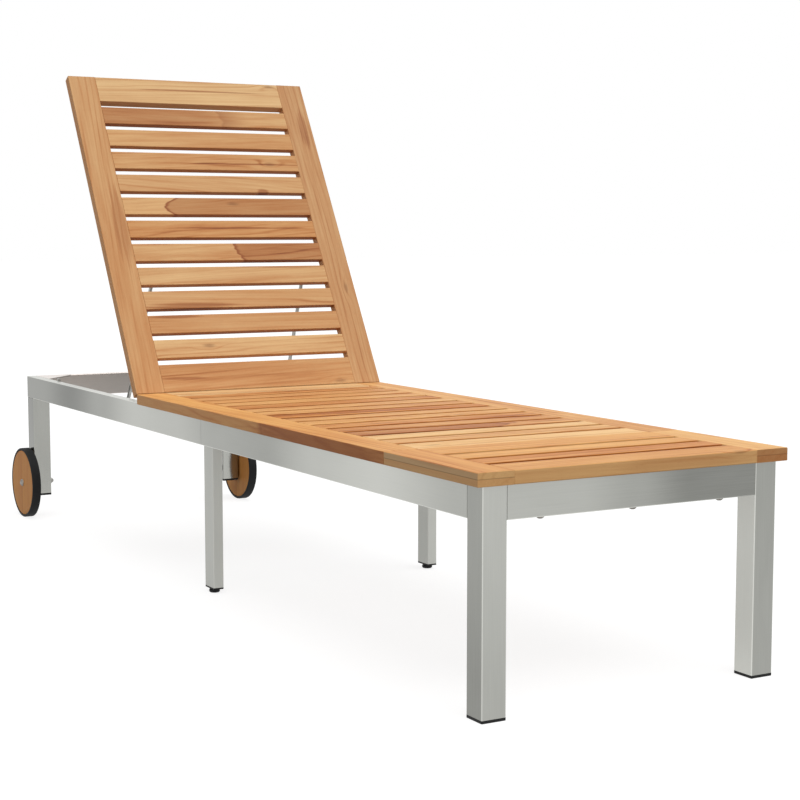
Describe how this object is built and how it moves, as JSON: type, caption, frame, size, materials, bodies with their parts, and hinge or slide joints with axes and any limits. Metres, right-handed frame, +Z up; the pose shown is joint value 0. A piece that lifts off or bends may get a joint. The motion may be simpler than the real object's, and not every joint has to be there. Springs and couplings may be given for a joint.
{
  "type": "sun lounger",
  "caption": "Reclining garden lounger: slatted wooden bed on a steel tube frame, propped backrest and two rear wheels.",
  "frame": {"origin": "on the ground, under the middle of the lounger's bounding box at rest", "axes": "+X across the bed, +Y from the foot end to the head end, +Z up; the backrest is raised at rest"},
  "size_m": [0.5796, 2.0634, 0.9987],
  "materials": {
    "teak": "oiled satin",
    "wheel_teak": "oiled satin",
    "steel": "fine brushed",
    "fastener_steel": "satin",
    "black_plastic": "matt",
    "nylon": "matt",
    "rubber": "matt"
  },
  "bodies": {
    "frame": {"foot_stile_left": "teak", "foot_stile_right": "teak", "foot_front_rail": "teak", "foot_rear_rail": "teak", "foot_slats": "teak", "seat_stile_left": "teak", "seat_stile_right": "teak", "seat_front_rail": "teak", "seat_rear_rail": "teak", "seat_slats": "teak", "front_rail": "steel", "front_leg_left": "steel", "front_leg_right": "steel", "side_rail_front_left": "steel", "side_rail_front_right": "steel", "side_rail_rear_left": "steel", "side_rail_rear_right": "steel", "mid_leg_left": "steel", "mid_leg_right": "steel", "mid_rail": "steel", "hinge_rail": "steel", "rear_leg_left": "steel", "rear_leg_right": "steel", "rear_rail": "steel", "corner_gussets": "steel", "joint_sleeves": "fastener_steel", "joint_screws": "fastener_steel", "seat_brackets": "fastener_steel", "panel_screws": "fastener_steel", "bracket_screws": "fastener_steel", "front_leg_caps": "black_plastic", "mid_leg_caps": "black_plastic", "rear_leg_caps": "black_plastic", "hinge_seat_leaves": "steel", "hinge_pins": "fastener_steel", "wood_screws": "fastener_steel", "rack_left": "fastener_steel", "rack_right": "fastener_steel", "rack_screws": "fastener_steel", "wheel_bolts": "fastener_steel", "wheel_spacers": "nylon", "acorn_nuts": "fastener_steel"},
    "backrest": {"back_stile_left": "teak", "back_stile_right": "teak", "back_top_rail": "teak", "back_bottom_rail": "teak", "back_slats": "teak", "hinge_back_leaves": "steel", "back_screws": "fastener_steel", "stay_clips": "fastener_steel"},
    "stay": {"prop_stay": "steel"},
    "wheel_left_body": {"wheel_disc_left": "wheel_teak", "tyre_left": "rubber", "wheel_bush_left": "nylon"},
    "wheel_right_body": {"wheel_disc_right": "wheel_teak", "tyre_right": "rubber", "wheel_bush_right": "nylon"},
    "glide_left_body": {"glide_left": "black_plastic"},
    "glide_right_body": {"glide_right": "black_plastic"}
  },
  "joints": [
    {"name": "back_tilt", "type": "hinge", "parent": "frame", "child": "backrest", "pos_m": [0, 0.22675, 0.3475], "axis": [1, 0, 0], "range_deg": [-60, 12]},
    {"name": "stay_fold", "type": "hinge", "parent": "backrest", "child": "stay", "pos_m": [0, 0.38777, 0.57439], "axis": [1, 0, 0], "range_deg": [-25.4, 126]},
    {"name": "wheel_left_spin", "type": "hinge", "parent": "frame", "child": "wheel_left_body", "pos_m": [-0.275, 0.95075, 0.081], "axis": [1, 0, 0], "continuous": true},
    {"name": "wheel_right_spin", "type": "hinge", "parent": "frame", "child": "wheel_right_body", "pos_m": [0.275, 0.95075, 0.081], "axis": [1, 0, 0], "continuous": true},
    {"name": "glide_left_screw", "type": "slide", "parent": "frame", "child": "glide_left_body", "axis": [0, 0, -1], "range_m": [0, 0.012]},
    {"name": "glide_right_screw", "type": "slide", "parent": "frame", "child": "glide_right_body", "axis": [0, 0, -1], "range_m": [0, 0.012]}
  ],
  "couplings": [
    {"joint": "stay_fold", "follows": "back_tilt", "ratio": -2.0983}
  ]
}
